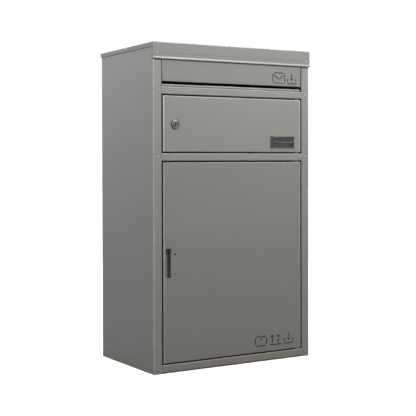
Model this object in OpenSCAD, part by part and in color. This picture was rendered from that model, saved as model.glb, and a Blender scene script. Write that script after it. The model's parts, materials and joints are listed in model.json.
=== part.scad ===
// Parcel drop box: a free-standing sheet-steel cabinet with a mail flap over a locked
// mail compartment, and a parcel compartment below with its own side-hung door.
//
// Frame: x to the right, y to the rear, z up, in millimetres. The origin is on the floor,
// under the middle of the bounding box. The front plane of the cabinet faces -y.

/* [Cabinet] */
// Width across the folded side panels
cabinet_w = 494; // [480:1:520]
// Depth from the front plane to the rear plane
cabinet_d = 303; // [290:1:340]
// Height to the front of the lid's top
cabinet_h = 852; // [849:1:870]
// Thickness of the cabinet sheet
sheet = 1.5; // [1.2:0.1:1.6]
// Outer radius of a bend in the sheet
bend_r = 2.5; // [2:0.1:3]
// Width of the front stile that each side panel is folded into
stile_w = 24.8; // [22:0.1:28]
// Depth of the return behind each stile
return_d = 20; // [20:1:24]
// Width of the door stop folded in behind each stile
stop_w = 8.5; // [7:0.5:9]

/* [Lid] */
// How far the hem of the lid stands in front of the cabinet
lid_front = 4.5; // [4.5:0.1:6]
// How far the lid stands out at the sides
lid_side = 1.6; // [1.6:0.1:4]
// How far the lid stands out at the rear
lid_rear = 2.5; // [2.5:0.1:4]
// Height of the front lip
lip_h = 43.4; // [42:0.1:45]
// Height of the flange along the sides and the rear
lid_flange_h = 12; // [12:1:16]
// Length of the lip's return around each front corner
lip_return = 10; // [8:1:20]
// How far the lid falls towards the rear
lid_fall = 4; // [1:0.5:5]

/* [Front frame] */
// Height of each rail
rail_h = 20; // [18:1:22]
// Height of the bottom rail's lower edge above the floor
bottom_rail_z = 2; // [2:0.5:3]
// Height of the middle rail's lower edge
mid_rail_z = 546.8; // [520:0.1:550]
// Height of the upper rail's lower edge
upper_rail_z = 718.6; // [716:0.1:720]
// Depth of the flanges of each rail
rail_d = 18; // [16:1:18]

/* [Doors] */
// Gap between a door and the rails
door_gap = 3.4; // [3:0.1:4]
// Gap between a door and the stiles
door_side_gap = 4; // [3.5:0.1:5]
// Thickness of the door sheet
door_sheet = 1.2; // [1:0.1:1.5]
// Depth of the folded edges of a door
door_d = 16; // [14:1:16]
// Distance from the hinge axis to the door's edge
hinge_inset = 10; // [9:0.5:10]
// Distance of the hinge axis behind the front plane
hinge_depth = 8; // [7:0.5:8]
// Diameter of the hinge pins
hinge_pin_d = 6; // [5:0.5:6]

/* [Mail flap] */
// Height of the flap's lower edge
flap_z = 751.6; // [750:0.1:753]
// Height of the flap
flap_h = 60; // [58:0.5:60]
// Depth of the flap's folded edges
flap_d = 10; // [9:0.5:11]
// Height of the flap's hinge axis
flap_axis_z = 800; // [799:0.5:801]
// Gap between the flap and the left stile
flap_gap_left = 0.8; // [0.6:0.1:3]
// Gap between the flap and the right stile
flap_gap_right = 2.8; // [0.6:0.1:4]

/* [Lock and latch] */
// Distance of the lock from the left edge of the cabinet
lock_inset = 64.7; // [62:0.1:66]
// Height of the lock
lock_z = 642; // [630:1:650]
// Diameter of the lock's face
lock_face_d = 26; // [24:1:28]
// Angle through which the latch lever swings from released to locked
latch_travel = 20; // [18:1:20]

/* [Hidden] */
$fn = 48;

// Colours
powder_grey = [0.52, 0.52, 0.50];
inner_grey = [0.45, 0.45, 0.44];
anthracite = [0.20, 0.20, 0.21];
rubber_black = [0.08, 0.08, 0.08];
nickel = [0.75, 0.74, 0.70];
zinc = [0.66, 0.68, 0.70];
clear = [0.35, 0.36, 0.38];

// Planes of the cabinet
front_y = -(cabinet_d + lid_rear - lid_front) / 2;
rear_y = front_y + cabinet_d;
half_w = cabinet_w / 2;
opening_x = half_w - stile_w;
stop_y = front_y + return_d;
panel_top = cabinet_h - sheet - 0.4;
header_z = cabinet_h - 36;
skin = 0.1;

// Planes behind the front frame
web_back = front_y + sheet;
tab_back = web_back + sheet;

// The lid leans about the lower edge of its lip
lid_axis_y = front_y - lid_front;
lid_axis_z = cabinet_h - lip_h;
lid_tilt = asin(lid_fall / (cabinet_d + lid_front));
lid_lean = lip_h * sin(lid_tilt);

// Doors
door_x = opening_x - door_side_gap;
parcel_door_z = bottom_rail_z + rail_h + door_gap;
parcel_door_h = mid_rail_z - door_gap - parcel_door_z;
mail_door_z = mid_rail_z + rail_h + door_gap;
mail_door_h = upper_rail_z - door_gap - mail_door_z;
door_back = front_y + door_sheet;
hinge_x = door_x - hinge_inset;
hinge_y = front_y + hinge_depth;
sign_depth = 0.7;
running_clearance = 0.05;
fit_clearance = 0.05;

// Flap
flap_front = front_y - 0.5;
flap_axis_y = flap_front + 6;
flap_left = -opening_x + flap_gap_left;
flap_right = opening_x - flap_gap_right;
flap_pin_r = 2;

// Chute under the flap
chute_front = front_y + 4;
chute_top = flap_z - 6.3;
chute_half = opening_x - 3;
cheek_front = front_y + flap_d + 1;

// Rivets in the stiles
stile_rivet_x = half_w - 13;
rivet_shank_r = 1.55;
rivet_hole_r = 1.6;
lip_hole_r = 1.75;
header_rivet_z = 798;
stile_rivet_z = [bottom_rail_z + rail_h / 2, mid_rail_z + rail_h / 2,
    upper_rail_z + rail_h / 2, header_rivet_z];
lip_rivet_x = half_w - 11;
lip_rivet_z = cabinet_h - 29;
lid_screw_z = cabinet_h - 6.5;

// Rivets along the back
back_rivet_x = half_w - 10;
back_rivet_z = [for (i = [0 : 4]) 60 + i * (cabinet_h - 120) / 4];

// Fixing holes
fixing_r = 4.5;
anchor_x = 170;
anchor_y = 95;
wall_hole_x = 150;
wall_hole_z = [110, 740];
floor_panel_z = sheet;

// Lock
lock_x = -half_w + lock_inset;
lock_barrel_r = 9.5;
lock_bore_r = 6.2;
lock_plug_r = 6.15;
cam_front = stop_y + 3;
cam_reach = 39;

// Name plate
plate_x = 115.5;
plate_z = 582;
plate_w = 81;
plate_h = 32.5;
plate_border = 2.2;

// Finger pull
pull_x = -half_w + 35.2;
pull_z = 245;
pull_w = 31.5;
pull_h = 76;
grip_w = 16;
pocket_d = 14;
grip_screw_x = -half_w + 63.5;
grip_screw_z = [256, 307];

// Latch under the mail shelf
shelf_z = mid_rail_z + sheet;
latch_x = -half_w + 67;
latch_y = front_y + 44.5;
latch_z = shelf_z - 18.3;
latch_pin_r = 2.5;
lever_t = 3;
cheek_x = 7;
keeper_bar_y = latch_y - 18.5;
keeper_bar_z = latch_z - 12;
keeper_rivet_z = [keeper_bar_z - 8, keeper_bar_z + 8];
slot_front = -6;
slot_rear = 16;
bracket_rear = 40;

// ---------------------------------------------------------------- helpers

function unit(v) = v / norm(v);

// Turn a section drawn in (y, z) to stand along x from x0 to x1
module along_x(x0, x1) {
    translate([x0, 0, 0])
        rotate([90, 0, 90])
            linear_extrude(x1 - x0) children();
}

// Section of a folded sheet: a line of straight runs joined by bends. The path is the
// middle of the sheet, t is its thickness and r the radius of its middle in a bend.
module folded_section(path, t, r) {
    last = len(path) - 1;
    for (i = [0 : last - 1]) {
        way = unit(path[i + 1] - path[i]);
        start = i == 0 ? 0 : setback(path, i, r);
        stop = i == last - 1 ? 0 : setback(path, i + 1, r);
        a = path[i] + way * start;
        b = path[i + 1] - way * stop;
        side = [-way.y, way.x] * t / 2;
        polygon([a - side, b - side, b + side, a + side]);
    }
    for (i = [1 : last - 1])
        bend_section(path[i], unit(path[i - 1] - path[i]), unit(path[i + 1] - path[i]), t, r);
}

// Half of the angle between the two runs that meet at a point of the path
function half_angle(path, i) =
    acos(unit(path[i - 1] - path[i]) * unit(path[i + 1] - path[i])) / 2;

// How much of a straight run a bend takes up
function setback(path, i, r) = r / tan(half_angle(path, i));

// One bend of a folded sheet at a corner, between two runs that leave it along a and b
module bend_section(corner, a, b, t, r) {
    half = acos(a * b) / 2;
    middle = unit(a + b) * r / sin(half);
    near_a = a * r / tan(half) - middle;
    near_b = b * r / tan(half) - middle;
    reach = 1.6;
    translate(corner + middle)
        intersection() {
            difference() {
                circle(r + t / 2);
                circle(r - t / 2);
            }
            polygon([[0, 0], near_a * reach, -middle * reach, near_b * reach]);
        }
}

// Rectangle from the origin with its two corners on the line y = 0 rounded
module round_front(w, d, r) {
    translate([r, 0]) square([w - 2 * r, d]);
    translate([0, r]) square([w, d - r]);
    translate([r, r]) circle(r);
    translate([w - r, r]) circle(r);
}

// Block w wide, h high and d deep whose front face, on y = 0, has rounded edges
module round_block(w, h, d, r) {
    intersection() {
        linear_extrude(h) round_front(w, d, r);
        translate([w, 0, 0])
            rotate([0, -90, 0])
                linear_extrude(w) round_front(h, d, r);
    }
}

// Folded tray that is open to the rear
module tray(w, h, d, t, r) {
    difference() {
        round_block(w, h, d, r);
        translate([t, t, t]) round_block(w - 2 * t, h - 2 * t, d, r - t);
    }
}

// Rivet through a stack of sheets: dome on the -z side, formed tail at the top of the grip
module rivet(head_r, head_h, grip) {
    dome_r = (head_r * head_r + head_h * head_h) / (2 * head_h);
    intersection() {
        translate([0, 0, dome_r - head_h]) sphere(dome_r);
        translate([0, 0, -head_h]) cylinder(r = head_r, h = head_h);
    }
    cylinder(r = rivet_shank_r, h = grip);
    translate([0, 0, grip]) cylinder(r = rivet_shank_r + 0.9, h = 1.2);
}

// The same rivet with its dome towards the front
module front_rivet(x, z, head_r, head_h, grip) {
    translate([x, front_y, z])
        rotate([-90, 0, 0]) rivet(head_r, head_h, grip);
}

// Hole through whatever stands within 40 mm of the plane y
module hole_along_y(x, y, z, r) {
    translate([x, y, z])
        rotate([90, 0, 0]) cylinder(r = r, h = 80, center = true);
}

// Stroke of a pictogram between two points, with square ends half a width past them
module stroke(a, b, w) {
    way = unit(b - a) * w / 2;
    side = [-way.y, way.x];
    polygon([a - way - side, b + way - side, b + way + side, a - way + side]);
}

module strokes(lines, w) {
    for (l = lines) stroke(l[0], l[1], w);
}

// Groove pressed into a front face: x and z of the drawing's corner, y of the face
module groove(x, y, z, depth) {
    translate([x, y + depth, z])
        rotate([90, 0, 0]) linear_extrude(depth + 1) children();
}

// ---------------------------------------------------------------- cabinet

// Plan of the left panel: door stop, return, stile, side wall and rear flange
function side_plan() = let (m = sheet / 2) [
    [-opening_x + stop_w - sheet, stop_y + m],
    [-opening_x - m, stop_y + m],
    [-opening_x - m, front_y + m],
    [-half_w + m, front_y + m],
    [-half_w + m, rear_y - m],
    [-half_w + 20, rear_y - m]];

module side_panel() {
    foot_w = 20;
    difference() {
        linear_extrude(panel_top) folded_section(side_plan(), sheet, bend_r - sheet / 2);
        behind_stile(-1, bottom_rail_z + rail_h + 1.3);
        behind_stile(mid_rail_z - 0.3, rail_h + 0.6);
        behind_stile(upper_rail_z - 0.3, rail_h + 0.6);
        behind_stile(header_z - 0.3, 50);
        translate([-opening_x + skin, stop_y - 1, upper_rail_z])
            cube([stop_w, sheet + 2, cabinet_h - upper_rail_z]);
        above_panel();
        for (z = stile_rivet_z) hole_along_y(-stile_rivet_x, front_y, z, rivet_hole_r);
        on_lid() hole_along_y(-lip_rivet_x, front_y, lip_rivet_z, lip_hole_r);
        for (z = back_rivet_z) hole_along_y(-back_rivet_x, rear_y, z, rivet_hole_r);
        flap_pin_hole();
        on_lid() lid_screw_hole();
    }
    translate([-half_w + sheet, tab_back + 6, 0])
        cube([foot_w, cabinet_d - 3 * sheet - 8, sheet]);
}

// Room for a rail's tab and flanges: takes the return and the stop away behind the stile
module behind_stile(z, h) {
    translate([-half_w + 8, web_back, z]) cube([stile_w + 4, return_d + 2, h]);
}

// Everything above a plane that keeps clear of the bends of the lid
module above_panel() {
    on_lid()
        translate([-cabinet_w, front_y - 20, cabinet_h - sheet - 0.8])
            cube([2 * cabinet_w, cabinet_d + 40, 20]);
}

// Puts children drawn for a level lid on the one that falls towards the rear
module on_lid() {
    translate([0, lid_axis_y, lid_axis_z])
        rotate([-lid_tilt, 0, 0])
            translate([0, -lid_axis_y, -lid_axis_z]) children();
}

module flap_pin_hole() {
    translate([-opening_x - 4, flap_axis_y, flap_axis_z])
        rotate([0, 90, 0]) cylinder(r = flap_pin_r + fit_clearance, h = 8);
}

module lid_screw_hole() {
    translate([-half_w - 10, 0, lid_screw_z])
        rotate([0, 90, 0]) cylinder(r = 2.1, h = 20);
}

module left_side_panel() {
    color(powder_grey) side_panel();
}

module right_side_panel() {
    color(powder_grey) mirror([1, 0, 0]) side_panel();
}

module back_panel() {
    y1 = rear_y - sheet;
    m = sheet / 2;
    z1 = panel_top - lid_fall;
    section = [[y1 - 14, z1 - m], [y1 - m, z1 - m], [y1 - m, 4 + m], [y1 - 14, 4 + m]];
    color(powder_grey)
        difference() {
            along_x(-half_w + 4, half_w - 4) folded_section(section, sheet, bend_r - m);
            for (side = [-1, 1]) {
                for (z = back_rivet_z)
                    hole_along_y(side * back_rivet_x, rear_y, z, rivet_hole_r);
                for (z = wall_hole_z)
                    hole_along_y(side * wall_hole_x, rear_y, z, fixing_r);
            }
        }
}

module bottom_panel() {
    w = cabinet_w - 2 * sheet - 0.4;
    y0 = front_y + rail_d + 0.5;
    d = rear_y - 2 * sheet - 0.2 - y0;
    m = sheet / 2;
    section = [[-w / 2 + m, 20], [-w / 2 + m, floor_panel_z + m], [w / 2 - m, floor_panel_z + m],
        [w / 2 - m, 20]];
    color(inner_grey)
        difference() {
            translate([0, y0 + d, 0])
                rotate([90, 0, 0])
                    linear_extrude(d) folded_section(section, sheet, bend_r - m);
            for (x = [-anchor_x, anchor_x], y = [-anchor_y, anchor_y])
                translate([x, y, -1]) cylinder(r = fixing_r, h = 10);
        }
}

// Channel between the stiles, with a tab at each end that lies behind the stile
module rail(z, h, tab_z0, tab_z1) {
    m = sheet / 2;
    section = [[front_y + rail_d, z + m], [front_y + m, z + m], [front_y + m, z + h - m],
        [front_y + rail_d, z + h - m]];
    along_x(-opening_x + skin, opening_x - skin) folded_section(section, sheet, bend_r - m);
    for (side = [0, 1])
        mirror([side, 0, 0])
            translate([-half_w + 5, web_back, tab_z0])
                cube([stile_w + 4, sheet, tab_z1 - tab_z0]);
}

module drilled_rail(z, h, tab_z0, tab_z1, rivet_z) {
    difference() {
        rail(z, h, tab_z0, tab_z1);
        for (side = [-1, 1])
            hole_along_y(side * stile_rivet_x, front_y, rivet_z, rivet_hole_r);
        children();
    }
}

module hinge_bore(z, h) {
    translate([hinge_x, hinge_y, z]) cylinder(d = hinge_pin_d + 2 * fit_clearance, h = h);
}

module bottom_rail() {
    z = bottom_rail_z;
    color(powder_grey)
        drilled_rail(z, rail_h, z + 2, z + rail_h - 2, stile_rivet_z[0])
            hinge_bore(z + rail_h / 2, rail_h);
}

module mid_rail() {
    z = mid_rail_z;
    color(powder_grey)
        drilled_rail(z, rail_h, z + 2, z + rail_h - 2, stile_rivet_z[1])
            hinge_bore(z - 1, rail_h + 2);
}

module upper_rail() {
    z = upper_rail_z;
    color(powder_grey)
        drilled_rail(z, rail_h, z + 2, z + rail_h - 2, stile_rivet_z[2])
            hinge_bore(z - 1, rail_h / 2);
}

// Hidden behind the lip of the lid, with long tabs that reach down behind the stiles
module header_rail() {
    z = header_z;
    tab_w = 14;
    color(inner_grey)
        difference() {
            union() {
                rail(z, panel_top - z, z + 2, panel_top - 2);
                for (side = [0, 1])
                    mirror([side, 0, 0])
                        translate([-half_w + 5, web_back, header_rivet_z - 8])
                            cube([tab_w, sheet, z - header_rivet_z + 12]);
            }
            for (side = [-1, 1]) {
                hole_along_y(side * stile_rivet_x, front_y, header_rivet_z, rivet_hole_r);
                on_lid() hole_along_y(side * lip_rivet_x, front_y, lip_rivet_z, lip_hole_r);
            }
        }
}

module lid() {
    w = cabinet_w + 2 * lid_side;
    hem_y = lid_axis_y;
    face_y = hem_y + 1.5;
    d = rear_y + lid_rear - lid_lean - face_y;
    z0 = lid_axis_z;
    hem = [[face_y, z0 + 6], [hem_y, z0 + 1.6], [hem_y, z0 + 0.8], [hem_y + 0.8, z0],
        [face_y + sheet, z0], [face_y + sheet, z0 + 6]];
    color(powder_grey)
        on_lid()
            difference() {
                union() {
                    difference() {
                        translate([-w / 2, face_y, cabinet_h])
                            rotate([-90, 0, 0]) lid_tray(w, d);
                        translate([-w, face_y + lip_return, z0 - 1])
                            cube([2 * w, d, lip_h - lid_flange_h + 1]);
                    }
                    along_x(-w / 2, w / 2) polygon(hem);
                }
                for (side = [-1, 1])
                    translate([side * lip_rivet_x, face_y - 5, lip_rivet_z])
                        rotate([-90, 0, 0]) cylinder(r = rivet_hole_r, h = 10);
                for (side = [0, 1]) mirror([side, 0, 0]) lid_screw_hole();
            }
}

// Tray for the lid in its own frame: x along the width, y down from the top, z to the rear
module lid_tray(w, d) {
    difference() {
        round_block(w, d, lip_h, bend_r);
        translate([sheet, sheet, sheet])
            round_block(w - 2 * sheet, d - 2 * sheet, lip_h, bend_r - sheet);
    }
}

module lid_side_screws() {
    head_r = 4.4;
    head_h = 1.8;
    dome_r = (head_r * head_r + head_h * head_h) / (2 * head_h);
    color(powder_grey)
        on_lid()
            for (side = [0, 1])
                mirror([side, 0, 0])
                    translate([-half_w - lid_side, 0, lid_screw_z])
                        rotate([0, 90, 0]) {
                            difference() {
                                intersection() {
                                    translate([0, 0, dome_r - head_h]) sphere(dome_r);
                                    translate([0, 0, -head_h]) cylinder(r = head_r, h = head_h);
                                }
                                translate([0, 0, -head_h - 1]) cylinder(r = 1.6, h = 2, $fn = 6);
                            }
                            cylinder(r = 2, h = 12);
                            translate([0, 0, lid_side + sheet]) cylinder(r = 3.4, h = 3.2, $fn = 6);
                        }
}

module lid_lip_rivets() {
    lip_face = lid_front - 1.5;
    lean = (lip_rivet_z - lid_axis_z) * sin(lid_tilt);
    reach = lip_face - lean + skin;
    color(powder_grey)
        on_lid()
            for (side = [-1, 1])
                translate([side * lip_rivet_x, front_y - lip_face, lip_rivet_z])
                    rotate([-90, 0, 0]) {
                        rivet(2.6, 0.9, reach + 2 * sheet);
                        translate([0, 0, sheet]) cylinder(r = 3.5, h = reach - sheet - 2 * skin);
                    }
}

module frame_rivets() {
    color(powder_grey)
        for (side = [-1, 1], z = stile_rivet_z)
            front_rivet(side * stile_rivet_x, z, 2.8, 1.3, 2 * sheet);
}

module back_rivets() {
    color(powder_grey)
        for (side = [-1, 1], z = back_rivet_z)
            translate([side * back_rivet_x, rear_y, z])
                rotate([90, 0, 0]) rivet(2.8, 1.3, 2 * sheet);
}

// ---------------------------------------------------------------- inside

module mail_shelf() {
    w = cabinet_w - 2 * sheet - 0.4;
    y0 = tab_back + skin;
    step_y = front_y + rail_d + 0.5;
    y1 = rear_y - 2 * sheet - 0.2;
    m = sheet / 2;
    section = [[-w / 2 + m, shelf_z - 14], [-w / 2 + m, shelf_z + m], [w / 2 - m, shelf_z + m],
        [w / 2 - m, shelf_z - 14]];
    color(inner_grey)
        difference() {
            union() {
                translate([0, y1, 0])
                    rotate([90, 0, 0])
                        linear_extrude(y1 - step_y) folded_section(section, sheet, bend_r - m);
                translate([-opening_x + 1, y0, shelf_z])
                    cube([2 * opening_x - 2, step_y - y0 + 1, sheet]);
            }
            latch_slot();
            bracket_holes();
            translate([hinge_x, hinge_y, shelf_z - 1]) cylinder(r = 8, h = 4);
        }
}

module latch_slot() {
    translate([latch_x - 4.5, latch_y + slot_front, shelf_z - 5])
        cube([9, slot_rear - slot_front, 10]);
}

module bracket_holes() {
    for (y = [24, 34])
        translate([latch_x, latch_y + y, shelf_z - 5])
            cylinder(r = rivet_hole_r, h = 10);
}

// Sill of the letter opening: front lip, level run and a slope that drops the mail inside
module letter_chute() {
    m = sheet / 2;
    base_z = upper_rail_z + rail_h + m;
    section = [[chute_front + 14, base_z], [chute_front + m, base_z],
        [chute_front + m, chute_top - m], [chute_front + 26, chute_top - m],
        [chute_front + 74, chute_top - 24]];
    cheek = [[0, 0], [16, 0], [16, 34], [0, 34]];
    color(powder_grey) {
        along_x(-chute_half, chute_half) folded_section(section, sheet, 1.6 + m);
        for (side = [0, 1])
            mirror([side, 0, 0])
                translate([-chute_half, cheek_front, chute_top - 0.4]) {
                    along_x(0, sheet) polygon(cheek);
                    translate([0, 0, 12]) cube([14, sheet, 22]);
                }
    }
}

// Plate that hangs from the header behind the flap and keeps hands out
module letter_baffle() {
    m = sheet / 2;
    y0 = front_y + rail_d - 10;
    section = [[y0, header_z - m], [y0 + 20, header_z - m], [y0 + 50, header_z - 48]];
    color(inner_grey)
        along_x(-chute_half, chute_half) folded_section(section, sheet, bend_r - m);
}

module flap_pivot_pins() {
    head_h = 1.5;
    color(zinc)
        for (side = [0, 1])
            mirror([side, 0, 0])
                translate([-opening_x - sheet, flap_axis_y, flap_axis_z])
                    rotate([0, 90, 0]) {
                        cylinder(r = flap_pin_r, h = 9);
                        translate([0, 0, -head_h]) cylinder(r = 2.95, h = head_h);
                    }
}

module flap_bumpers() {
    back = flap_front + door_sheet;
    color(rubber_black)
        for (side = [0, 1])
            mirror([side, 0, 0])
                translate([-chute_half + 8, cheek_front, chute_top + 23])
                    rotate([90, 0, 0])
                        bumper(4.5, cheek_front - back - 0.3);
}

module bumper(r, h) {
    cylinder(r = r, h = h - 0.8);
    translate([0, 0, h - 0.8]) cylinder(r1 = r, r2 = r - 0.8, h = 0.8);
}

module hinge_pins() {
    reach = 8;
    color(zinc)
        for (z = [[parcel_door_z + reach, bottom_rail_z + rail_h - 6],
                  [mid_rail_z + sheet, parcel_door_z + parcel_door_h - reach],
                  [mail_door_z + reach, mid_rail_z + rail_h - 6],
                  [upper_rail_z + sheet + 4, mail_door_z + mail_door_h - reach]])
            translate([hinge_x, hinge_y, min(z)])
                cylinder(d = hinge_pin_d, h = max(z) - min(z));
}

module hinge_washers() {
    t = door_gap - 0.4;
    color(zinc)
        for (z = [bottom_rail_z + rail_h, mid_rail_z - door_gap, mid_rail_z + rail_h,
                  upper_rail_z - door_gap])
            translate([hinge_x, hinge_y, z + 0.2])
                difference() {
                    cylinder(r = 5.5, h = t);
                    translate([0, 0, -1])
                        cylinder(r = hinge_pin_d / 2 + running_clearance, h = t + 2);
                }
}

// Buttons on the left door stop that the closed doors rest on
module door_bumpers() {
    x = -door_x + 0.6;
    gap = stop_y - (front_y + door_d);
    color(rubber_black)
        for (z = [60, 290, 500, mail_door_z + 20, mail_door_z + mail_door_h - 20])
            translate([x, stop_y, z])
                rotate([90, 0, 0]) bumper(2.4, gap - 0.3);
}

// ---------------------------------------------------------------- mail flap

// Envelope between two parted brackets, in strokes that never close a loop
module letter_sign(h) {
    w = 1.45 * h;
    s = 0.11 * h;
    strokes([
        [[0, 0.14 * h], [0, 0.86 * h]],
        [[w, 0.14 * h], [w, 0.86 * h]],
        [[0.12 * w, 0], [0.88 * w, 0]],
        [[0.12 * w, h], [0.88 * w, h]],
        [[0.14 * w, 0.8 * h], [0.43 * w, 0.42 * h]],
        [[0.86 * w, 0.8 * h], [0.57 * w, 0.42 * h]]], s);
}

// Arrow of height h that points up from the origin, its head parted from its shaft
module arrow(h, w) {
    head_h = 0.36 * h;
    translate([-w / 2, 0]) square([w, h - head_h - w / 2]);
    polygon([[-0.26 * h, h - head_h], [0.26 * h, h - head_h], [0, h]]);
}

// Arrow that points down into a tray
module drop_sign(h) {
    s = 0.11 * h;
    translate([h / 2, h]) mirror([0, 1]) arrow(0.78 * h, s);
    strokes([
        [[0, 0], [h, 0]],
        [[0, 0.17 * h], [0, 0.42 * h]],
        [[h, 0.17 * h], [h, 0.42 * h]]], s);
}

module mail_flap() {
    sign_h = 28;
    color(powder_grey)
        difference() {
            translate([flap_left, flap_front, flap_z])
                tray(flap_right - flap_left, flap_h, flap_d, door_sheet, bend_r - 0.5);
            translate([flap_left - 1, flap_axis_y, flap_axis_z])
                rotate([0, 90, 0])
                    cylinder(r = flap_pin_r + running_clearance, h = cabinet_w);
            groove(flap_right - 95, flap_front, flap_z + 8, sign_depth) letter_sign(sign_h);
            groove(flap_right - 45, flap_front, flap_z + 8, sign_depth) drop_sign(sign_h);
        }
}

// ---------------------------------------------------------------- mail door

module door_tray(z, h) {
    difference() {
        translate([-door_x, front_y, z]) tray(2 * door_x, h, door_d, door_sheet, bend_r - 0.5);
        translate([hinge_x, hinge_y, z - 1])
            cylinder(d = hinge_pin_d + 2 * running_clearance, h = h + 2);
    }
}

module mail_door() {
    color(powder_grey)
        difference() {
            door_tray(mail_door_z, mail_door_h);
            hole_along_y(lock_x, front_y, lock_z, lock_barrel_r + fit_clearance);
            for (x = [8, plate_w - 8])
                hole_along_y(plate_x + x, front_y, plate_z + plate_h / 2, 1.6);
        }
}

module at_lock() {
    translate([lock_x, front_y, lock_z])
        rotate([-90, 0, 0]) children();
}

module lock_housing() {
    face_r = lock_face_d / 2;
    face_h = 2.4;
    barrel = cam_front - front_y - 0.6;
    color(nickel)
        at_lock()
            difference() {
                union() {
                    rotate_extrude()
                        polygon([[0, -face_h], [face_r - 4.4, -face_h],
                            [face_r - 3.4, -face_h + 0.5], [face_r - 1.2, -face_h + 0.3],
                            [face_r, -face_h + 1.3], [face_r, 0], [0, 0]]);
                    cylinder(r = lock_barrel_r, h = barrel);
                }
                translate([0, 0, -face_h - 1]) cylinder(r = lock_bore_r, h = barrel + 10);
            }
}

module lock_nut() {
    color(zinc)
        at_lock()
            translate([0, 0, door_sheet])
                difference() {
                    cylinder(r = 14, h = 4, $fn = 6);
                    translate([0, 0, -1]) cylinder(r = lock_barrel_r, h = 6);
                }
}

module lock_plug() {
    key_w = 2.2;
    key_h = 8.4;
    face = -2.2;
    color(nickel)
        at_lock()
            difference() {
                union() {
                    translate([0, 0, face]) cylinder(r = lock_plug_r, h = cam_front - front_y - face);
                    translate([-3, -3, cam_front - front_y]) cube([6, 6, 2]);
                }
                translate([-key_w / 2, -key_h / 2, face - 1]) cube([key_w, key_h, 13]);
                translate([0, 0, cam_front - front_y - 6]) cylinder(r = 1.5, h = 10);
            }
}

module lock_cam() {
    half = 7;
    color(zinc)
        translate([lock_x, cam_front + 2, lock_z])
            rotate([90, 0, 0])
                linear_extrude(2)
                    difference() {
                        union() {
                            circle(9);
                            translate([-half, -cam_reach + half]) square([2 * half, cam_reach - half]);
                            translate([0, -cam_reach + half]) circle(half);
                        }
                        square(6, center = true);
                    }
}

module lock_cam_screw() {
    color(zinc)
        translate([lock_x, cam_front + 2, lock_z])
            rotate([-90, 0, 0])
                difference() {
                    union() {
                        cylinder(r = 4.6, h = 2.2);
                        translate([0, 0, -7]) cylinder(r = 1.5, h = 7);
                    }
                    translate([-0.5, -5, 1.2]) cube([1, 10, 2]);
                }
}

// ---------------------------------------------------------------- name plate

module nameplate_frame() {
    proud = 2;
    b = plate_border;
    mid = plate_h / 2;
    pane_h = mid - 1.5 * b;
    color(anthracite)
        difference() {
            union() {
                translate([plate_x, front_y - proud, plate_z])
                    round_block(plate_w, plate_h, proud, 1);
                for (x = [8, plate_w - 8])
                    translate([plate_x + x, front_y - 0.5, plate_z + mid])
                        rotate([-90, 0, 0]) {
                            cylinder(r = 1.5, h = 4);
                            translate([0, 0, 0.5 + door_sheet]) cylinder(r = 2.6, h = 1);
                        }
            }
            for (z = [b, mid + b / 2])
                translate([plate_x + b, front_y - proud - 1, plate_z + z])
                    cube([plate_w - 2 * b, proud + 0.6, pane_h]);
        }
}

module nameplate_panes(y0, t) {
    b = plate_border;
    mid = plate_h / 2;
    for (z = [b, mid + b / 2])
        translate([plate_x + b + skin, y0, plate_z + z + skin])
            cube([plate_w - 2 * b - 2 * skin, t, mid - 1.5 * b - 2 * skin]);
}

module nameplate_strips() {
    color(anthracite) nameplate_panes(front_y - 0.8, 0.3);
}

module nameplate_window() {
    color(clear) nameplate_panes(front_y - 1.7, 0.8);
}

// ---------------------------------------------------------------- parcel door

// Carton in parted strokes, with a strip of tape down its middle
module carton_sign(h) {
    w = 1.25 * h;
    strokes([
        [[0, 0.17 * h], [0, 0.7 * h]],
        [[w, 0.17 * h], [w, 0.7 * h]],
        [[0.12 * w, 0], [0.88 * w, 0]],
        [[0.12 * w, 0.88 * h], [0.36 * w, 0.88 * h]],
        [[0.64 * w, 0.88 * h], [0.88 * w, 0.88 * h]],
        [[0.5 * w, 0.88 * h], [0.5 * w, 0.5 * h]]], 0.12 * h);
}

// Two upright arrows over a line
module upright_sign(h) {
    s = 0.12 * h;
    for (x = [0.25 * h, 0.95 * h])
        translate([x, 0.14 * h]) arrow(0.86 * h, s);
    strokes([[[0, 0], [1.2 * h, 0]]], s);
}

module parcel_door() {
    sign_h = 29;
    sign_z = parcel_door_z + 17;
    color(powder_grey)
        difference() {
            door_tray(parcel_door_z, parcel_door_h);
            translate([pull_x, front_y - 5, pull_z]) cube([pull_w, 12, pull_h]);
            groove(door_x - 152, front_y, sign_z, sign_depth) carton_sign(sign_h);
            groove(door_x - 104, front_y, sign_z, sign_depth) upright_sign(sign_h);
            groove(door_x - 56, front_y, sign_z, sign_depth) drop_sign(sign_h);
        }
}

// Hat channel welded up the inside of the door
module door_stiffener() {
    z0 = parcel_door_z + 12;
    m = door_sheet / 2;
    y0 = door_back + m;
    y1 = front_y + door_d - 2 - m;
    section = [[-34, y0], [-18, y0], [-18, y1], [18, y1], [18, y0], [34, y0]];
    color(inner_grey)
        translate([0, 0, z0])
            linear_extrude(parcel_door_h - 24) folded_section(section, door_sheet, 2);
}

// Shell behind the cut-out of the door, with a ledge that carries the grip plate
module finger_pocket() {
    t = 1.5;
    rim = 5;
    y1 = door_back + pocket_d;
    ledge_w = 10;
    color(anthracite)
        difference() {
            union() {
                translate([pull_x - t, door_back, pull_z - t])
                    cube([pull_w + 2 * t, pocket_d, pull_h + 2 * t]);
                translate([pull_x - t, door_back, pull_z - rim])
                    cube([pull_w + rim, 1, pull_h + 2 * rim]);
            }
            translate([pull_x, door_back - 1, pull_z])
                cube([pull_w - ledge_w, pocket_d - t + 1, pull_h]);
            for (z = grip_screw_z)
                translate([grip_screw_x, door_back - 1, z])
                    rotate([-90, 0, 0]) cylinder(r = 1.5, h = 11);
        }
}

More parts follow.
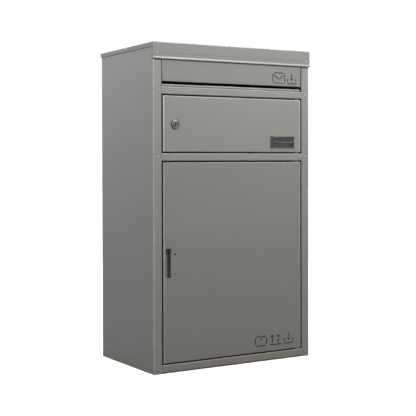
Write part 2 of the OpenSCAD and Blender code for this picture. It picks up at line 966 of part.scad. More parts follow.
// Angle that fills the right of the cut-out; fingers hook behind its left edge
module grip_plate() {
    h = pull_h - 0.6;
    m = door_sheet / 2;
    x1 = pull_x + pull_w - 0.3;
    section = [[x1, front_y + m], [x1 - grip_w + m, front_y + m], [x1 - grip_w + m, front_y + 8]];
    color(powder_grey)
        difference() {
            translate([0, 0, pull_z + 0.3])
                linear_extrude(h) folded_section(section, door_sheet, 1.2);
            for (z = grip_screw_z)
                translate([grip_screw_x, front_y - 1, z])
                    rotate([-90, 0, 0]) cylinder(r = 1.7, h = 4);
        }
}

module grip_screws() {
    head_r = 2.9;
    head_h = 1.3;
    color(anthracite)
        for (z = grip_screw_z)
            translate([grip_screw_x, front_y, z])
                rotate([-90, 0, 0])
                    difference() {
                        union() {
                            translate([0, 0, -head_h]) cylinder(r1 = head_r - 0.6, r2 = head_r, h = head_h);
                            cylinder(r = 1.5, h = 9);
                        }
                        translate([0, 0, -head_h - 1]) cylinder(r = 1.3, h = 1.9, $fn = 6);
                    }
}

// Striker on the inside of the door: a plate, two arms and a round bar
module keeper() {
    arm_x = 10.5;
    arm_t = 1.5;
    base_w = 2 * (arm_x + arm_t);
    base_h = 30;
    y0 = door_back;
    arm_end = keeper_bar_y + 4.5;
    color(zinc)
        translate([latch_x, 0, 0])
            difference() {
                union() {
                    translate([-base_w / 2, y0, keeper_bar_z - base_h / 2])
                        cube([base_w, arm_t, base_h]);
                    for (side = [0, 1])
                        mirror([side, 0, 0])
                            translate([arm_x, y0, keeper_bar_z - 6])
                                cube([arm_t, arm_end - y0, 11]);
                    translate([-arm_x - 1, keeper_bar_y, keeper_bar_z])
                        rotate([0, 90, 0]) cylinder(r = 3, h = 2 * arm_x + 2);
                }
                for (z = keeper_rivet_z)
                    translate([0, y0 - 1, z])
                        rotate([-90, 0, 0]) cylinder(r = rivet_hole_r, h = 5);
            }
}

// Weld studs that hold the keeper without showing on the door's face
module keeper_rivets() {
    color(zinc)
        for (z = keeper_rivet_z)
            translate([latch_x, door_back, z])
                rotate([-90, 0, 0]) {
                    cylinder(r = rivet_shank_r, h = 1.5);
                    translate([0, 0, 1.5]) cylinder(r = 3, h = 1.4);
                }
}

// ---------------------------------------------------------------- latch

module latch_bracket() {
    t = 2;
    z1 = shelf_z;
    cheek_l = bracket_rear - 14;
    color(zinc)
        difference() {
            union() {
                translate([latch_x - cheek_x - t, latch_y - 12, z1 - t])
                    cube([2 * (cheek_x + t), bracket_rear + 12, t]);
                for (side = [-1, 1])
                    translate([latch_x + side * (cheek_x + t / 2) - t / 2, latch_y - 12, latch_z - 9])
                        cube([t, cheek_l, z1 - latch_z + 9 - 0.5]);
            }
            latch_slot();
            bracket_holes();
            translate([latch_x - 20, latch_y, latch_z])
                rotate([0, 90, 0]) cylinder(r = latch_pin_r + fit_clearance, h = 40);
        }
}

module bracket_rivets() {
    color(zinc)
        for (y = [24, 34])
            translate([latch_x, latch_y + y, shelf_z + sheet])
                rotate([180, 0, 0]) rivet(3, 1.2, sheet + 2);
}

module latch_pin() {
    end = cheek_x + 2;
    color(zinc)
        translate([latch_x - end, latch_y, latch_z])
            rotate([0, 90, 0]) {
                cylinder(r = latch_pin_r, h = 2 * end);
                translate([0, 0, -1.5]) cylinder(r = 3.8, h = 1.5);
                translate([0, 0, 2 * end]) cylinder(r = 3.8, h = 1.5);
            }
}

module latch_spacers() {
    gap = cheek_x - lever_t / 2;
    color("white")
        for (side = [0, 1])
            translate([latch_x, latch_y, latch_z])
                mirror([side, 0, 0])
                    translate([lever_t / 2 + skin, 0, 0])
                        rotate([0, 90, 0])
                            difference() {
                                cylinder(r = 5.5, h = gap - 2 * skin);
                                translate([0, 0, -1])
                                    cylinder(r = latch_pin_r + running_clearance, h = gap + 2);
                            }
}

// Puts children, drawn about the pivot in the locked position, in the released one
module released() {
    translate([latch_x, latch_y, latch_z])
        rotate([-latch_travel, 0, 0]) children();
}

module latch_lever() {
    nose = [[-28, 4], [-28, -14], [-26.5, -15], [-22.3, -15], [-22.3, -4], [0, -5], [0, 5],
        [-24, 5]];
    stem = [[-4, 0], [4, 0], [3, 34], [-3, 34]];
    color(zinc)
        released()
            difference() {
                along_x(-lever_t / 2, lever_t / 2) {
                    circle(7);
                    polygon(nose);
                    polygon(stem);
                }
                translate([-10, 0, 0])
                    rotate([0, 90, 0]) cylinder(r = latch_pin_r + running_clearance, h = 20);
            }
}

module latch_knob() {
    w = 12;
    d = 11;
    color(anthracite)
        released()
            difference() {
                translate([-w / 2, -d / 2, 24]) {
                    cube([w, d, 15]);
                    translate([0, d / 2, 15]) rotate([0, 90, 0]) cylinder(d = d, h = w);
                }
                translate([-lever_t / 2, -5, 23]) cube([lever_t, 10, 11.2]);
            }
}

left_side_panel();
right_side_panel();
back_panel();
bottom_panel();
bottom_rail();
mid_rail();
upper_rail();
header_rail();
lid();
lid_side_screws();
lid_lip_rivets();
frame_rivets();
back_rivets();
mail_shelf();
letter_chute();
letter_baffle();
flap_pivot_pins();
flap_bumpers();
mail_flap();
hinge_pins();
hinge_washers();
door_bumpers();
mail_door();
lock_housing();
lock_nut();
lock_plug();
lock_cam();
lock_cam_screw();
nameplate_frame();
nameplate_strips();
nameplate_window();
parcel_door();
door_stiffener();
finger_pocket();
grip_plate();
grip_screws();
keeper();
keeper_rivets();
latch_bracket();
bracket_rivets();
latch_pin();
latch_spacers();
latch_lever();
latch_knob();
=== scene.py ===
# Looks for the parcel drop box: powder-coated sheet steel, nickel lock, plastic and rubber trim.
# Metres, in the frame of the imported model: x right, y to the rear, z up, origin on the floor.

import json
import math

import bpy
from mathutils import Matrix, Vector


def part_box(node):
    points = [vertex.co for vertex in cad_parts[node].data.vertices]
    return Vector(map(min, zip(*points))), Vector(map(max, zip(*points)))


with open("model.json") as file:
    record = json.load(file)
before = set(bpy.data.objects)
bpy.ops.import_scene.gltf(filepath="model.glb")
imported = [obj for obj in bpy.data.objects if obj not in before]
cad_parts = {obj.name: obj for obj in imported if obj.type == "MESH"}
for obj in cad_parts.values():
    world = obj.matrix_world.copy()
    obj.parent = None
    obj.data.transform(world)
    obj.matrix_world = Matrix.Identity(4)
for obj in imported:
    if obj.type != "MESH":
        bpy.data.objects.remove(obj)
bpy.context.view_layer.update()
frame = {"nodes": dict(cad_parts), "record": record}
scene = bpy.context.scene

# A distance past the object on every side
FAR = 2.0


# ------------------------------------------------------------------ camera

CAMERA_PLACE = Vector((-1.4703, -2.4172, 0.5477))
CAMERA_AZIMUTH = math.radians(-31.453)
CAMERA_PITCH = math.radians(-0.596)
CAMERA_ROLL = math.radians(-0.141)
CAMERA_LENS = 87.38      # millimetres
CAMERA_SENSOR = 36       # millimetres
CAMERA_SHIFT_Y = -0.0887
CAMERA_REACH = 50


def make_camera():
    """The camera looks nearly level from above the box's middle, so its frame is shifted down."""
    data = bpy.data.cameras.new("camera")
    data.lens = CAMERA_LENS
    data.sensor_width = CAMERA_SENSOR
    data.shift_y = CAMERA_SHIFT_Y
    data.clip_end = CAMERA_REACH
    obj = bpy.data.objects.new("camera", data)
    scene.collection.objects.link(obj)
    turn, tilt = CAMERA_AZIMUTH, CAMERA_PITCH
    ahead = Vector((-math.sin(turn) * math.cos(tilt), math.cos(turn) * math.cos(tilt), math.sin(tilt)))
    right = Vector((math.cos(turn), math.sin(turn), 0))
    up = right.cross(ahead)
    c, s = math.cos(CAMERA_ROLL), math.sin(CAMERA_ROLL)
    axes = Matrix((right * c + up * s, up * c - right * s, -ahead)).transposed()
    obj.matrix_world = Matrix.Translation(CAMERA_PLACE) @ axes.to_4x4()
    scene.camera = obj


# ------------------------------------------------------------------ node helpers

# Noise stays mostly between these values
NOISE_LOW = 0.3
NOISE_HIGH = 0.7

# Dot product of the rounded and the true normal, where an edge starts to show and where it shows fully
EDGE_STARTS = 0.985
EDGE_FULL = 0.86

# How softly the masks of the painted highlight on folds and of the rings of painted shade end, and how
# strongly the painted highlight on a fold along the top shows
FOLD_SOFT = 0.0006
RING_SOFT = 0.0006
TOP_FOLD_SHARE = 0.3


class Nodes:
    """A material's node tree, with short calls that add and join nodes."""

    def __init__(self, name):
        self.material = bpy.data.materials.new(name)
        self.material.use_nodes = True
        self.tree = self.material.node_tree
        self.tree.nodes.clear()
        self.shader = self.add("ShaderNodeBsdfPrincipled")
        output = self.add("ShaderNodeOutputMaterial")
        self.join(self.shader, "BSDF", output, "Surface")
        self.place = self.add("ShaderNodeTexCoord")

    def add(self, kind, **settings):
        node = self.tree.nodes.new(kind)
        for key, value in settings.items():
            setattr(node, key, value)
        return node

    def join(self, a, out, b, into):
        self.tree.links.new(a.outputs[out], b.inputs[into])

    def set(self, **values):
        """Sets the shader's own sockets; an underscore stands for a space."""
        for key, value in values.items():
            self.shader.inputs[key.replace("_", " ")].default_value = value

    def axes(self):
        """The object's own coordinates, with outputs X, Y and Z."""
        split = self.add("ShaderNodeSeparateXYZ")
        self.join(self.place, "Object", split, "Vector")
        return split

    def noise(self, scale, detail=3.0, rough=0.5, stretch=None):
        node = self.add("ShaderNodeTexNoise")
        node.inputs["Scale"].default_value = scale
        node.inputs["Detail"].default_value = detail
        node.inputs["Roughness"].default_value = rough
        if stretch:
            mapping = self.add("ShaderNodeMapping")
            mapping.inputs["Scale"].default_value = stretch
            self.join(self.place, "Object", mapping, "Vector")
            self.join(mapping, "Vector", node, "Vector")
        else:
            self.join(self.place, "Object", node, "Vector")
        return node

    def cells(self, scale):
        node = self.add("ShaderNodeTexVoronoi")
        node.inputs["Scale"].default_value = scale
        self.join(self.place, "Object", node, "Vector")
        return node

    def spread(self, source, out, low, high, to_low, to_high):
        """Maps source from low..high to to_low..to_high, held at both ends."""
        node = self.add("ShaderNodeMapRange")
        for key, value in (("From Min", low), ("From Max", high), ("To Min", to_low), ("To Max", to_high)):
            node.inputs[key].default_value = value
        self.join(source, out, node, "Value")
        return node

    def vary(self, noise, to_low, to_high, high=NOISE_HIGH):
        """Maps the usual values of a noise, as far as high, to to_low..to_high."""
        return self.spread(noise, "Fac", NOISE_LOW, high, to_low, to_high)

    def edges(self, radius):
        """1 along the edges and 0 on the flats: where a rounded normal leaves the true one."""
        eased = self.add("ShaderNodeBevel", samples=6)
        eased.inputs["Radius"].default_value = radius
        true = self.add("ShaderNodeNewGeometry")
        dot = self.add("ShaderNodeVectorMath", operation="DOT_PRODUCT")
        self.join(eased, "Normal", dot, 0)
        self.join(true, "Normal", dot, 1)
        return self.spread(dot, "Value", EDGE_STARTS, EDGE_FULL, 0.0, 1.0)

    def within(self, low, high, soft):
        """1 inside the box low..high of the object's own coordinates, falling to 0 at its faces."""
        split = self.axes()
        mask = None
        for axis, a, b in zip("XYZ", low, high):
            for edge, inner in ((a, a + soft), (b, b - soft)):
                side = self.spread(split, axis, edge, inner, 0.0, 1.0)
                mask = self.maths("MULTIPLY", (side, "Result"), (mask, "Value") if mask else 1.0)
        return mask

    def ring(self, centre, inner, outer):
        """1 between two radii round an axis along y through centre, in the object's own coordinates."""
        flat = self.add("ShaderNodeVectorMath", operation="MULTIPLY")
        self.join(self.place, "Object", flat, 0)
        flat.inputs[1].default_value = (1, 0, 1)
        away = self.add("ShaderNodeVectorMath", operation="DISTANCE")
        self.join(flat, "Vector", away, 0)
        away.inputs[1].default_value = (centre[0], 0, centre[2])
        rise = self.spread(away, "Value", inner - RING_SOFT, inner + RING_SOFT, 0.0, 1.0)
        fall = self.spread(away, "Value", outer - RING_SOFT, outer + RING_SOFT, 1.0, 0.0)
        return self.maths("MULTIPLY", (rise, "Result"), (fall, "Result"))

    def folds(self, panel, radius):
        """1 on the folds along the sides of a panel's front face, and less along its top."""
        low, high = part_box(panel)
        front = self.within((-FAR, -FAR, -FAR), (FAR, low[1] + radius, FAR), FOLD_SOFT)
        between = self.within((low[0] + radius, -FAR, -FAR), (high[0] - radius, FAR, FAR), FOLD_SOFT)
        sides = self.maths("SUBTRACT", 1.0, (between, "Value"))
        top = self.within((-FAR, -FAR, high[2] - radius), (FAR, FAR, FAR), FOLD_SOFT)
        top = self.maths("MULTIPLY", (top, "Value"), TOP_FOLD_SHARE)
        fold = self.maths("MAXIMUM", (sides, "Value"), (top, "Value"))
        return self.maths("MULTIPLY", (fold, "Value"), (front, "Value"))

    def maths(self, operation, a, b):
        """a and b are numbers, or (node, output) pairs."""
        node = self.add("ShaderNodeMath", operation=operation)
        for index, value in enumerate((a, b)):
            if isinstance(value, tuple):
                self.join(*value, node, index)
            else:
                node.inputs[index].default_value = value
        return node

    def mix(self, factor, a, b, blend="MIX"):
        """Mixes two colours, each a colour or a (node, output) pair; so is the factor, or a number."""
        node = self.add("ShaderNodeMix", data_type="RGBA", blend_type=blend)
        for socket, value in ((0, factor), (6, a), (7, b)):
            if isinstance(value, tuple) and isinstance(value[0], bpy.types.Node):
                self.join(*value, node, socket)
            else:
                node.inputs[socket].default_value = value
        return (node, 2)

    def shaded(self, colour, tone):
        """colour times tone, a (node, output) pair."""
        return self.mix(1.0, colour, tone, "MULTIPLY")

    def colour(self, source):
        self.join(*source, self.shader, "Base Color")

    def rough(self, source):
        self.join(source, "Result", self.shader, "Roughness")

    def bump(self, layers):
        """Layers of (noise, strength, depth in metres), stacked into one normal."""
        last = None
        for noise, strength, depth in layers:
            bump = self.add("ShaderNodeBump")
            bump.inputs["Strength"].default_value = strength
            bump.inputs["Distance"].default_value = depth
            self.join(noise, "Fac", bump, "Height")
            if last:
                self.join(last, "Normal", bump, "Normal")
            last = bump
        self.join(last, "Normal", self.shader, "Normal")


def rgb(r, g, b):
    return (r, g, b, 1.0)


def grey(value):
    return rgb(value, value, value)


# ------------------------------------------------------------------ materials

BODY_GREY = (0.189, 0.191, 0.181)
LID_GREY = (0.158, 0.160, 0.151)
FLAP_GREY = (0.165, 0.167, 0.158)
MAIL_DOOR_GREY = (0.185, 0.187, 0.177)
PARCEL_DOOR_GREY = (0.170, 0.171, 0.162)
INNER_GREY = (0.15, 0.15, 0.145)
RIVET_GREY = (0.24, 0.238, 0.226)
BLACK_STEEL = (0.04, 0.04, 0.04)
ZINC = (0.42, 0.43, 0.44)
NICKEL = (0.30, 0.29, 0.27)
ACRYLIC = (0.9, 0.92, 0.93)

# Powder coat: cells per metre of its metallic grain, and how much lighter its rubbed edges and painted
# highlights are
GRAIN_SCALE = 2600
WEAR_AND_HIGHLIGHT_GAIN = 2.6

# Width of the light line along a cut edge, partly rubbed paint and partly painted highlight, and of the
# painted highlight round a fold
EDGE_WEAR_AND_HIGHLIGHT_WIDTH = 0.0012
FOLD_HIGHLIGHT_WIDTH = 0.0026

# Relief of the coat: scale, detail and roughness of the noise, strength, depth in metres
COAT_RELIEF = [
    (3.2, 1.0, 0.3, 0.25, 0.004),        # waves of the sheet
    (260.0, 2.0, 0.5, 0.25, 0.0003),     # orange peel
    (1500.0, 2.0, 0.5, 0.3, 0.00008),    # pebble
]

# Painted shade: the coat is darker towards the floor, from this height down
PAINTED_SHADE_HEIGHT = 0.4
PAINTED_SHADE_AT_FLOOR = 0.92

# Dust on the lowest part: full up to one height, gone at the next
DUST = (0.205, 0.184, 0.158)
DUST_FULL = 0.021
DUST_ENDS = 0.03
DUST_SHARE = 0.6

# Colour of the painted shade in recesses and gaps, and how softly it ends
SHADE_PAINT_COLOUR = (0.012, 0.012, 0.012)
SHADE_PAINT_SOFT = 0.0001


def powder_coat(name, base, rough=0.42, edge_wear_and_highlight=0.5, panel=None, fold_highlight=0.0, painted_shades=()):
    """Grey powder coat: metallic grain, the pebble of the coating, painted shade towards the floor, and a
    lighter line along the edges that is partly rubbed paint and partly painted highlight.

    One amount sets how far the cut edges turn light, another how strongly the folds round the front of the
    node named by panel take a painted highlight. Each box given is darkened inside with painted shade, by
    its own share.
    """
    n = Nodes(name)
    flake = n.spread(n.cells(GRAIN_SCALE), "Color", 0.0, 1.0, 0.94, 1.06)
    drift = n.vary(n.noise(5.0, 4.0, 0.6), 0.975, 1.025)
    tone = n.maths("MULTIPLY", (flake, "Result"), (drift, "Result"))
    split = n.axes()
    # Painted shade: darker towards the floor
    low_painted_shade = n.spread(split, "Z", 0.0, PAINTED_SHADE_HEIGHT, PAINTED_SHADE_AT_FLOOR, 1.0)
    tone = n.maths("MULTIPLY", (tone, "Value"), (low_painted_shade, "Result"))
    dusty = n.spread(split, "Z", DUST_FULL, DUST_ENDS, DUST_SHARE, 0.0)
    coat = n.mix((dusty, "Result"), rgb(*base), rgb(*DUST))
    shown = n.shaded(coat, (tone, "Value"))
    # Lighter colour for the cut edges, partly rubbed paint and partly painted highlight, and for the
    # painted highlight on the folds
    wear_and_highlight_colour = rgb(*(WEAR_AND_HIGHLIGHT_GAIN * c for c in base))
    patches = n.vary(n.noise(90.0, 4.0, 0.6), 0.45 * edge_wear_and_highlight, edge_wear_and_highlight, high=0.65)
    edge_wear_and_highlight_mask = n.maths("MULTIPLY", (n.edges(EDGE_WEAR_AND_HIGHLIGHT_WIDTH), "Result"), (patches, "Result"))
    shown = n.mix((edge_wear_and_highlight_mask, "Value"), shown, wear_and_highlight_colour)
    if panel:
        # Painted highlight in streaks along the folds round the panel's front
        streaks = n.vary(n.noise(25.0, 5.0, 0.7), 0.7 * fold_highlight, fold_highlight, high=0.6)
        line = n.maths("MULTIPLY", (n.folds(panel, FOLD_HIGHLIGHT_WIDTH), "Value"), (streaks, "Result"))
        shown = n.mix((line, "Value"), shown, wear_and_highlight_colour)
    # Painted shade inside the given boxes: the floors of pressed signs, flanges and stile returns
    for low, high, share in painted_shades:
        shade = n.maths("MULTIPLY", (n.within(low, high, SHADE_PAINT_SOFT), "Value"), share)
        shown = n.mix((shade, "Value"), shown, rgb(*SHADE_PAINT_COLOUR))
    n.colour(shown)
    n.rough(n.vary(n.noise(14.0, 5.0, 0.65), rough - 0.05, rough + 0.07))
    n.set(Metallic=0.0, IOR=1.5)
    n.bump([(n.noise(scale, detail, roughness), strength, depth)
            for scale, detail, roughness, strength, depth in COAT_RELIEF])
    return n.material


# Painted shade in the lock's keyway, tinted reddish, and painted shade on the lock's face
KEYWAY_SHADE = (0.03, 0.014, 0.009)
RING_SHADE = (0.03, 0.025, 0.02)

# How much the noise of a plate's brushing is squeezed along x, y and z
ZINC_BRUSHING = (400.0, 400.0, 30.0)
NICKEL_BRUSHING = (200.0, 200.0, 200.0)


def plated(name, base, rough, brushing, keyway=None, centre=None, shade_rings=()):
    """Zinc or nickel plate over steel, faintly brushed.

    keyway is a box whose inside is darkened with painted shade, tinted reddish. The rings round centre are
    painted shade, each with its inner and outer radius and how dark it is.
    """
    n = Nodes(name)
    tone = n.vary(n.noise(60.0, 4.0, 0.6), 0.85, 1.1)
    shown = n.shaded(rgb(*base), (tone, "Result"))
    # Painted shade in rings round the lock's centre
    for inner, outer, share in shade_rings:
        dark = n.maths("MULTIPLY", (n.ring(centre, inner, outer), "Value"), share)
        shown = n.mix((dark, "Value"), shown, rgb(*RING_SHADE))
    # Painted shade in the keyway, tinted reddish
    if keyway:
        shown = n.mix((n.within(*keyway, SHADE_PAINT_SOFT), "Value"), shown, rgb(*KEYWAY_SHADE))
    n.colour(shown)
    brushed = n.noise(6.0, 3.0, 0.6, stretch=brushing)
    n.rough(n.vary(brushed, rough - 0.06, rough + 0.08))
    n.set(Metallic=1.0)
    n.bump([(brushed, 0.15, 0.0002)])
    return n.material


def moulded(name, base, rough, pebble=1100.0):
    """Textured plastic, rubber or card; pebble is the scale of its texture."""
    n = Nodes(name)
    tone = n.vary(n.noise(30.0, 3.0, 0.6), 0.9, 1.1)
    n.colour(n.shaded(rgb(*base), (tone, "Result")))
    n.rough(n.vary(n.noise(80.0, 3.0, 0.6), rough - 0.06, rough + 0.06))
    n.set(IOR=1.46)
    n.bump([(n.noise(pebble, 2.0, 0.5), 0.3, 0.0001)])
    return n.material


def grip_screw_finish(name):
    """Black steel for the upper grip screw; the lower one is painted over like the door."""
    n = Nodes(name)
    low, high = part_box("grip_screws")
    middle = (low[2] + high[2]) / 2
    upper = n.spread(n.axes(), "Z", middle - 0.001, middle + 0.001, 0.0, 1.0)
    smear = n.noise(700.0, 4.0, 0.6)
    tone = n.vary(smear, 0.9, 1.1)
    finish = n.mix((upper, "Result"), rgb(*PARCEL_DOOR_GREY), rgb(*BLACK_STEEL))
    n.colour(n.shaded(finish, (tone, "Result")))
    n.rough(n.vary(smear, 0.36, 0.5))
    n.set(IOR=1.5)
    n.bump([(smear, 0.2, 0.0001)])
    return n.material


def clear_acrylic(name):
    """The name plate's clear window, slightly smeared."""
    n = Nodes(name)
    smear = n.noise(120.0, 4.0, 0.6)
    n.rough(n.vary(smear, 0.1, 0.24))
    n.colour(n.shaded(rgb(*ACRYLIC), (n.vary(smear, 0.96, 1.0), "Result")))
    n.set(IOR=1.49, Transmission_Weight=1.0)
    return n.material


# ------------------------------------------------------------------ painted shade and the lock

# The signs pressed into the flap and the parcel door, whose floors get painted shade: width and height,
# where they lie, and how dark
FLAP_SIGN = (0.09, 0.035)
PARCEL_SIGN = (0.15, 0.045)
SIGN_INSET = 0.012
SIGN_RISE = 0.005
SIGN_NEAR = 0.0003
SIGN_DEEP = 0.001
SIGN_SHADE_PAINT = 0.93

# Painted shade on the doors' and the flap's flanges, from this far behind the face, and how dark
FLANGE_NEAR = 0.003
FLANGE_SHADE_PAINT = 0.6

# Painted shade on the returns of the stiles: how deep along x, how far behind the stiles' face, and how
# dark
RETURN_DEPTH = 0.0085
RETURN_NEAR = 0.002
RETURN_SHADE_PAINT = 0.88


def sign_floor(node, width, height):
    """Box around the floor of the sign pressed into a panel's lower right corner, and how dark its painted
    shade is.
    """
    low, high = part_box(node)
    face, right, bottom = low[1], high[0] - SIGN_INSET, low[2] + SIGN_RISE
    return (right - width, face + SIGN_NEAR, bottom), (right, face + SIGN_DEEP, bottom + height), SIGN_SHADE_PAINT


def flanges(node):
    """Box around the flanges behind a door's face, or the right half of the flap's, and how dark its
    painted shade is.
    """
    low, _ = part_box(node)
    left = 0.0 if node == "mail_flap" else -FAR
    return (left, low[1] + FLANGE_NEAR, -FAR), (FAR, FAR, FAR), FLANGE_SHADE_PAINT


def stile_return(node):
    """Box around the return of a side panel's stile, which faces the doors, and how dark its painted shade
    is.
    """
    low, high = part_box(node)
    on_right = low[0] > 0
    left = low[0] if on_right else high[0] - RETURN_DEPTH
    return (left, low[1] + RETURN_NEAR, -FAR), (left + RETURN_DEPTH, FAR, FAR), RETURN_SHADE_PAINT


# The lock's keyway, darkened with painted shade: half its width and height, and how far behind the plug's
# face it starts
KEYWAY_HALF_WIDTH = 0.0012
KEYWAY_HALF_HEIGHT = 0.0045
KEYWAY_NEAR = 0.0004

# Rings of painted shade on the lock, at the groove round the plug, round the keyway and at the rim: inner
# radius, outer radius, how dark
PLUG_SHADE_RINGS = [(0.0045, 0.02, 0.6), (-FAR, 0.0026, 0.6)]
HOUSING_SHADE_RINGS = [(0.0, 0.0078, 0.7), (0.0112, 0.02, 0.75)]


def make_lock_paints():
    """Dulled nickel, with painted shade at the keyway, in the groove round the plug and at the rim."""
    low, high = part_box("lock_plug")
    centre = [(a + b) / 2 for a, b in zip(low, high)]
    x, _, z = centre
    keyway = ((x - KEYWAY_HALF_WIDTH, low[1] + KEYWAY_NEAR, z - KEYWAY_HALF_HEIGHT),
              (x + KEYWAY_HALF_WIDTH, FAR, z + KEYWAY_HALF_HEIGHT))
    return {
        "lock_plug": plated("lock_plug", NICKEL, 0.48, NICKEL_BRUSHING, keyway, centre, PLUG_SHADE_RINGS),
        "lock_housing": plated("lock_housing", NICKEL, 0.42, NICKEL_BRUSHING, None, centre, HOUSING_SHADE_RINGS),
    }


def make_panel_paints():
    """Paint of the panels that have a painted highlight on their front folds, or painted shade in a
    pressed sign, on their flanges or on their stiles' returns.
    """
    paints = {}
    for name in ("left_side_panel", "right_side_panel"):
        paints[name] = powder_coat(name, BODY_GREY, panel=name, fold_highlight=0.45, painted_shades=[stile_return(name)])
    paints["mail_flap"] = powder_coat(
        "mail_flap", FLAP_GREY, painted_shades=[sign_floor("mail_flap", *FLAP_SIGN), flanges("mail_flap")])
    paints["mail_door"] = powder_coat(
        "mail_door", MAIL_DOOR_GREY, panel="mail_door", fold_highlight=0.9, painted_shades=[flanges("mail_door")])
    paints["parcel_door"] = powder_coat(
        "parcel_door", PARCEL_DOOR_GREY, panel="parcel_door", fold_highlight=0.55,
        painted_shades=[sign_floor("parcel_door", *PARCEL_SIGN), flanges("parcel_door")])
    return paints


def make_materials():
    """Materials by the record's slots, for the nodes that have no paint of their own."""
    return {
        "body_paint": powder_coat("body_paint", BODY_GREY),
        "lid_paint": powder_coat("lid_paint", LID_GREY, edge_wear_and_highlight=0.2),
        "door_paint": powder_coat("door_paint", PARCEL_DOOR_GREY),
        "inner_paint": powder_coat("inner_paint", INNER_GREY, 0.5),
        "rivet_paint": powder_coat("rivet_paint", RIVET_GREY, edge_wear_and_highlight=0.3),
        "zinc": plated("zinc", ZINC, 0.36, ZINC_BRUSHING),
        "dark_plastic": moulded("dark_plastic", (0.095, 0.098, 0.1), 0.42),
        "pocket_plastic": moulded("pocket_plastic", (0.2, 0.2, 0.192), 0.5),
        "card": moulded("card", (0.009, 0.009, 0.01), 0.6, 700.0),
        "window": clear_acrylic("window"),
        "rubber": moulded("rubber", (0.012, 0.012, 0.012), 0.7, 500.0),
        "dark_steel": grip_screw_finish("dark_steel"),
        "nylon": moulded("nylon", (0.6, 0.6, 0.55), 0.4, 400.0),
    }


# ------------------------------------------------------------------ the CAD nodes

# Radius of the eased edges, usual and by node
USUAL_EDGE = 0.0002
EDGE_RADIUS = {"lock_plug": 0.00012, "lock_housing": 0.00025, "latch_knob": 0.0008}

# Thin plates whose edges stay as they were cut
SHARP = {"grip_plate", "letter_baffle"}

# Points nearer than this are one point, and an edge sharper than this angle is eased
WELD_DISTANCE = 0.000002
EDGE_ANGLE = math.radians(40)


def ease_edges(obj, radius):
    """Rounds an object's sharp edges a little and keeps its flats flat to the light."""
    weld = obj.modifiers.new("weld", "WELD")
    weld.merge_threshold = WELD_DISTANCE
    bevel = obj.modifiers.new("ease", "BEVEL")
    bevel.width = radius
    bevel.segments = 2
    bevel.limit_method = "ANGLE"
    bevel.angle_limit = EDGE_ANGLE
    shade = obj.modifiers.new("shade", "WEIGHTED_NORMAL")
    shade.mode = "FACE_AREA"
    shade.weight = 50
    shade.keep_sharp = True


def dress(materials, own_paints):
    """Gives every CAD node its own paint or its slot's material, and eases its edges unless it is one of
    the plates kept sharp.
    """
    slots = {s["node"]: s["material_slot"] for s in frame["record"]["subparts"]}
    for name, obj in frame["nodes"].items():
        obj.data.materials.clear()
        obj.data.materials.append(own_paints.get(name) or materials[slots[name]])
        if name not in SHARP:
            ease_edges(obj, EDGE_RADIUS.get(name, USUAL_EDGE))


# ------------------------------------------------------------------ stage and light

FLOOR_HALF = 14.0

# The floor's albedo as it lights the box, and as the camera sees it
FLOOR_LIT = 0.135
FLOOR_SEEN = 0.9

# Strength of the surroundings as they light the box, and as the camera sees them
FILL = 0.458
BACKDROP = 1.05

SUN = 3.0
SUN_ANGLE = math.radians(40)


def make_floor():
    """Pale floor that gives back less light to the box than the camera sees."""
    n = Nodes("floor")
    path = n.add("ShaderNodeLightPath")
    n.colour(n.mix((path, "Is Camera Ray"), grey(FLOOR_LIT), grey(FLOOR_SEEN)))
    n.set(Roughness=0.9, Specular_IOR_Level=0.0)
    half = FLOOR_HALF
    mesh = bpy.data.meshes.new("floor")
    corners = [(-half, -half, 0), (half, -half, 0), (half, half, 0), (-half, half, 0)]
    mesh.from_pydata(corners, [], [(0, 1, 2, 3)])
    mesh.materials.append(n.material)
    floor = bpy.data.objects.new("floor", mesh)
    scene.collection.objects.link(floor)


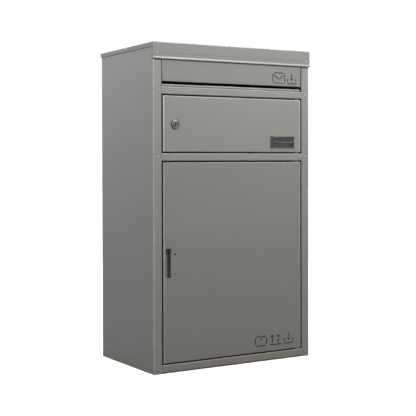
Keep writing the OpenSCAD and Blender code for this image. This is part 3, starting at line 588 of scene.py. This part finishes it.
def make_world():
    """White surroundings, dimmer as a source of light than they look."""
    world = bpy.data.worlds.new("world")
    scene.world = world
    world.use_nodes = True
    tree = world.node_tree
    tree.nodes.clear()
    seen = tree.nodes.new("ShaderNodeBackground")
    seen.inputs["Color"].default_value = rgb(1, 1, 1)
    seen.inputs["Strength"].default_value = BACKDROP
    fill = tree.nodes.new("ShaderNodeBackground")
    fill.inputs["Color"].default_value = rgb(0.97, 0.985, 1.0)
    fill.inputs["Strength"].default_value = FILL
    path = tree.nodes.new("ShaderNodeLightPath")
    mix = tree.nodes.new("ShaderNodeMixShader")
    out = tree.nodes.new("ShaderNodeOutputWorld")
    tree.links.new(path.outputs["Is Camera Ray"], mix.inputs[0])
    tree.links.new(fill.outputs[0], mix.inputs[1])
    tree.links.new(seen.outputs[0], mix.inputs[2])
    tree.links.new(mix.outputs[0], out.inputs["Surface"])


# name, place, point aimed at, width and height, watts, tint, and whether it lights matt, gloss or both
SOFTBOXES = [
    ("front_softbox", (0.3, -0.95, 1.55), (0, -0.15, 0.75), (1.3, 0.5), 26.9, (1, 0.98, 0.94), "both"),
    ("front_fill", (0.9, -2.2, 1.1), (0, -0.15, 0.5), (1.2, 1.2), 5.1, (1, 0.98, 0.94), "matt"),
    ("side_softbox", (-1.15, 0.3, 1.55), (-0.25, 0, 0.75), (0.5, 0.9), 20.5, (0.97, 0.975, 1), "both"),
    ("right_strip", (1.8, 0.1, 0.75), (0.25, -0.1, 0.45), (0.5, 1.8), 2.0, (1, 0.98, 0.95), "both"),
    ("corner_strip", (-1.9, -1.15, 0.65), (-0.2, -0.15, 0.45), (0.22, 2.2), 9.0, (1, 0.99, 0.96), "gloss"),
    ("rear_panel", (2.3, 1.2, 0.7), (0.2, -0.15, 0.45), (2.0, 2.4), 15.0, (1, 1, 1), "gloss"),
    ("rear_softbox", (1.5, 1.9, 1.2), (0.1, 0.1, 0.45), (1.2, 1.2), 32.0, (1, 0.99, 0.97), "both"),
]


def make_lights():
    """The softboxes, and a broad soft light from straight above."""
    for name, place, target, size, watts, tint, kind in SOFTBOXES:
        data = bpy.data.lights.new(name, "AREA")
        data.shape = "RECTANGLE"
        data.size, data.size_y = size
        data.energy = watts
        data.color = tint
        obj = bpy.data.objects.new(name, data)
        scene.collection.objects.link(obj)
        obj.location = place
        aim = Vector(target) - Vector(place)
        obj.rotation_euler = aim.to_track_quat("-Z", "Y").to_euler()
        obj.visible_camera = False
        obj.visible_glossy = kind != "matt"
        obj.visible_diffuse = kind != "gloss"
    sky = bpy.data.lights.new("overhead", "SUN")
    sky.energy = SUN
    sky.angle = SUN_ANGLE
    scene.collection.objects.link(bpy.data.objects.new("overhead", sky))


make_camera()
dress(make_materials(), {**make_panel_paints(), **make_lock_paints()})
make_floor()
make_world()
make_lights()
scene.view_settings.view_transform = "Standard"
